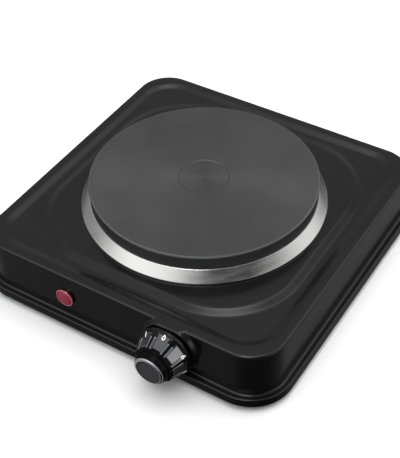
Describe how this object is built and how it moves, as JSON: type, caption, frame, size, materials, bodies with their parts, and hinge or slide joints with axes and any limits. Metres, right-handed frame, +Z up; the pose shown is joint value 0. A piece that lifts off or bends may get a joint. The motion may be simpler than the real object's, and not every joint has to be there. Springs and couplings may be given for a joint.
{
  "type": "hot plate burner",
  "caption": "Free-standing electric hot plate: square enamelled steel housing, round cast-iron plate in a steel spill ring, faceted control knob and red indicator lamp.",
  "frame": {"origin": "on the surface the feet stand on, under the middle of the overall outline, knob included; the plate's axis is 11.6 mm behind it", "axes": "+Z up, -Y towards the front wall with the knob and the lamp, +X to the right seen from the front"},
  "size_m": [0.2676, 0.2908, 0.073],
  "materials": {
    "black_enamel": "glossy black enamel",
    "zinc_steel": "zinc plated, satin",
    "galvanised_sheet": "galvanised sheet, dull",
    "cast_iron": "turned and coated cast iron, satin",
    "stainless_steel": "brushed stainless steel",
    "knob_plastic": "glossy black phenolic",
    "spring_steel": "blued spring steel",
    "plain_steel": "machined steel, satin",
    "brass": "machined brass",
    "phosphor_bronze": "phosphor bronze strip",
    "silver_alloy": "silver alloy, polished",
    "bimetal": "rolled bimetal, satin",
    "steatite": "unglazed steatite",
    "cam_plastic": "moulded phenolic, matt",
    "nickel_strip": "nickel plated strip",
    "resistance_wire": "oxidised resistance wire",
    "magnesia": "pressed magnesia powder",
    "lamp_red": "translucent red polycarbonate, glossy",
    "bulb_glass": "clear glass",
    "resistor_coat": "lacquered",
    "black_nylon": "moulded nylon, matt",
    "rubber": "matt rubber",
    "wire_brown": "silicone covered wire, brown",
    "wire_blue": "silicone covered wire, blue",
    "wire_green": "green and yellow covered wire",
    "wire_grey": "silicone covered wire, grey"
  },
  "bodies": {
    "base": {"bimetal_strip": "bimetal", "bottom_cover": "galvanised_sheet", "bottom_cover_screws": "zinc_steel", "cable_gland": "black_nylon", "centre_stud": "zinc_steel", "centre_washer": "zinc_steel", "clamp_bridge": "zinc_steel", "contact_points": "silver_alloy", "cord_clamp_base": "black_nylon", "cord_clamp_saddle": "black_nylon", "cord_clamp_screws": "zinc_steel", "corner_brackets": "zinc_steel", "earth_screw": "zinc_steel", "earth_tag": "nickel_strip", "earth_wire": "wire_green", "fixed_contact_blade": "phosphor_bronze", "foot_nuts": "zinc_steel", "foot_screws": "zinc_steel", "front_left_foot": "rubber", "front_right_foot": "rubber", "heat_shield": "galvanised_sheet", "hot_plate": "cast_iron", "housing": "black_enamel", "inner_heating_coil": "resistance_wire", "inner_insulation": "magnesia", "lamp_end_cap": "black_nylon", "lamp_lens": "lamp_red", "lamp_resistor": "resistor_coat", "lamp_retaining_clip": "spring_steel", "lamp_wires": "wire_grey", "lever_pivot_pin": "plain_steel", "live_wire": "wire_brown", "moving_contact_blade": "phosphor_bronze", "neon_bulb": "bulb_glass", "neutral_wire": "wire_blue", "outer_heating_coil": "resistance_wire", "outer_insulation": "magnesia", "plate_terminal_block": "steatite", "plate_terminals": "nickel_strip", "plate_underside_cover": "galvanised_sheet", "rear_left_foot": "rubber", "rear_right_foot": "rubber", "spill_ring": "stainless_steel", "spindle_bush": "brass", "stud_nuts": "zinc_steel", "switched_wire": "wire_brown", "terminal_block": "steatite", "terminal_block_screw": "zinc_steel", "terminal_clamp_screws": "zinc_steel", "terminal_clamps": "brass", "thermostat_bracket": "zinc_steel", "thermostat_insulators": "steatite", "thermostat_rivet": "zinc_steel", "thermostat_screws": "zinc_steel"},
    "knob": {"control_knob": "knob_plastic", "knob_spring_clip": "spring_steel", "thermostat_spindle": "plain_steel", "setting_cam": "cam_plastic"},
    "lever": {"setting_lever": "plain_steel", "push_pin": "steatite"}
  },
  "joints": [
    {"name": "knob_turn", "type": "hinge", "parent": "base", "child": "knob", "pos_m": [0.0503, -0.1284, 0.0315], "axis": [0, 1, 0], "range_deg": [0, 300]},
    {"name": "lever_tilt", "type": "hinge", "parent": "base", "child": "lever", "pos_m": [0.036, -0.1122, 0.0315], "axis": [0, 0, 1], "range_deg": [0, 2.75]}
  ],
  "couplings": [
    {"joint": "lever_tilt", "follows": "knob_turn", "ratio": 0.009136}
  ]
}
